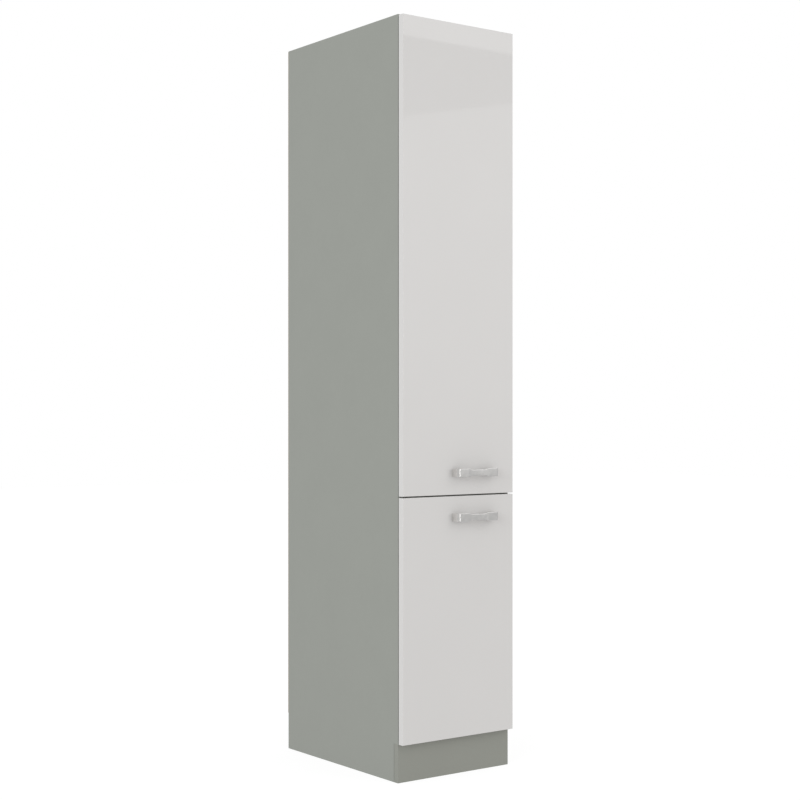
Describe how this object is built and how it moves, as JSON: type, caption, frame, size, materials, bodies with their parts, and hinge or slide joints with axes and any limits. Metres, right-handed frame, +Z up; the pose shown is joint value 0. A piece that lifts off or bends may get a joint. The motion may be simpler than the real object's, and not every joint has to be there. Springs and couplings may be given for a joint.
{
  "type": "tall larder cabinet",
  "caption": "Tall narrow kitchen larder cabinet with a long upper door above a shorter lower door, horizontal bow handles, loose shelves and a plinth board.",
  "frame": {"origin": "on the floor, in the middle of the whole cabinet's footprint, handles included", "axes": "+Z up, the front with the doors faces -Y, +X to the right of a person who looks at the front"},
  "size_m": [0.4, 0.6226, 2.14],
  "materials": {
    "grey_laminate": "matt melamine-faced chipboard",
    "grey_plinth": "matt melamine-faced chipboard",
    "white_gloss": "high-gloss white faced fibreboard",
    "satin_nickel": "satin nickel",
    "back_board": "lacquered thin fibreboard",
    "nickel_steel": "nickel-plated steel",
    "zinc_steel": "zinc-plated steel",
    "beech": "plain beech",
    "soft_bumper": "soft clear elastomer"
  },
  "bodies": {
    "carcass": {"left_side_panel": "grey_laminate", "right_side_panel": "grey_laminate", "bottom_panel": "grey_laminate", "fixed_shelf": "grey_laminate", "top_panel": "grey_laminate", "plinth_board": "grey_plinth", "upper_shelf_1": "grey_laminate", "upper_shelf_2": "grey_laminate", "upper_shelf_3": "grey_laminate", "lower_shelf_1": "grey_laminate", "shelf_pins": "nickel_steel", "lower_back_sheet": "back_board", "upper_back_sheet": "back_board", "back_nails": "zinc_steel", "cam_housings": "zinc_steel", "cam_bolts": "zinc_steel", "dowels": "beech", "wall_brackets": "zinc_steel", "wall_bracket_screws": "zinc_steel", "plinth_brackets": "zinc_steel", "plinth_bracket_screws": "zinc_steel", "hinge_plates": "nickel_steel", "hinge_plate_screws": "zinc_steel", "hinge_arms": "nickel_steel", "hinge_arm_screws": "zinc_steel", "hinge_arm_pins": "zinc_steel"},
    "upper_goose_necks": {"upper_goose_neck_links": "nickel_steel"},
    "upper_door_leaf": {"upper_door": "white_gloss", "upper_handle": "satin_nickel", "upper_handle_screws": "zinc_steel", "upper_door_bumpers": "soft_bumper", "upper_hinge_cups": "nickel_steel", "upper_cup_pins": "zinc_steel", "upper_cup_screws": "zinc_steel"},
    "upper_straps": {"upper_strap_links": "nickel_steel"},
    "lower_goose_necks": {"lower_goose_neck_links": "nickel_steel"},
    "lower_door_leaf": {"lower_door": "white_gloss", "lower_handle": "satin_nickel", "lower_handle_screws": "zinc_steel", "lower_door_bumpers": "soft_bumper", "lower_hinge_cups": "nickel_steel", "lower_cup_pins": "zinc_steel", "lower_cup_screws": "zinc_steel"},
    "lower_straps": {"lower_strap_links": "nickel_steel"}
  },
  "joints": [
    {"name": "upper_goose_neck_pivot", "type": "hinge", "parent": "carcass", "child": "upper_goose_necks", "pos_m": [-0.1781, -0.25695, 1.298], "axis": [0, 0, 1], "range_deg": [0, 34.5]},
    {"name": "upper_door_swing", "type": "hinge", "parent": "upper_goose_necks", "child": "upper_door_leaf", "pos_m": [-0.1895, -0.2671, 1.298], "axis": [0, 0, -1], "range_deg": [0, 129.2]},
    {"name": "upper_strap_pivot", "type": "hinge", "parent": "upper_door_leaf", "child": "upper_straps", "pos_m": [-0.1867, -0.26325, 1.298], "axis": [0, 0, 1], "range_deg": [0, 125.9]},
    {"name": "lower_goose_neck_pivot", "type": "hinge", "parent": "carcass", "child": "lower_goose_necks", "pos_m": [-0.1781, -0.25695, 0.451], "axis": [0, 0, 1], "range_deg": [0, 34.5]},
    {"name": "lower_door_swing", "type": "hinge", "parent": "lower_goose_necks", "child": "lower_door_leaf", "pos_m": [-0.1895, -0.2671, 0.451], "axis": [0, 0, -1], "range_deg": [0, 129.2]},
    {"name": "lower_strap_pivot", "type": "hinge", "parent": "lower_door_leaf", "child": "lower_straps", "pos_m": [-0.1867, -0.26325, 0.451], "axis": [0, 0, 1], "range_deg": [0, 125.9]}
  ],
  "couplings": [
    {"joint": "upper_goose_neck_pivot", "follows": "upper_door_swing", "ratio": 0.26471},
    {"joint": "upper_strap_pivot", "follows": "upper_door_swing", "ratio": 0.97059},
    {"joint": "lower_goose_neck_pivot", "follows": "lower_door_swing", "ratio": 0.26471},
    {"joint": "lower_strap_pivot", "follows": "lower_door_swing", "ratio": 0.97059}
  ]
}
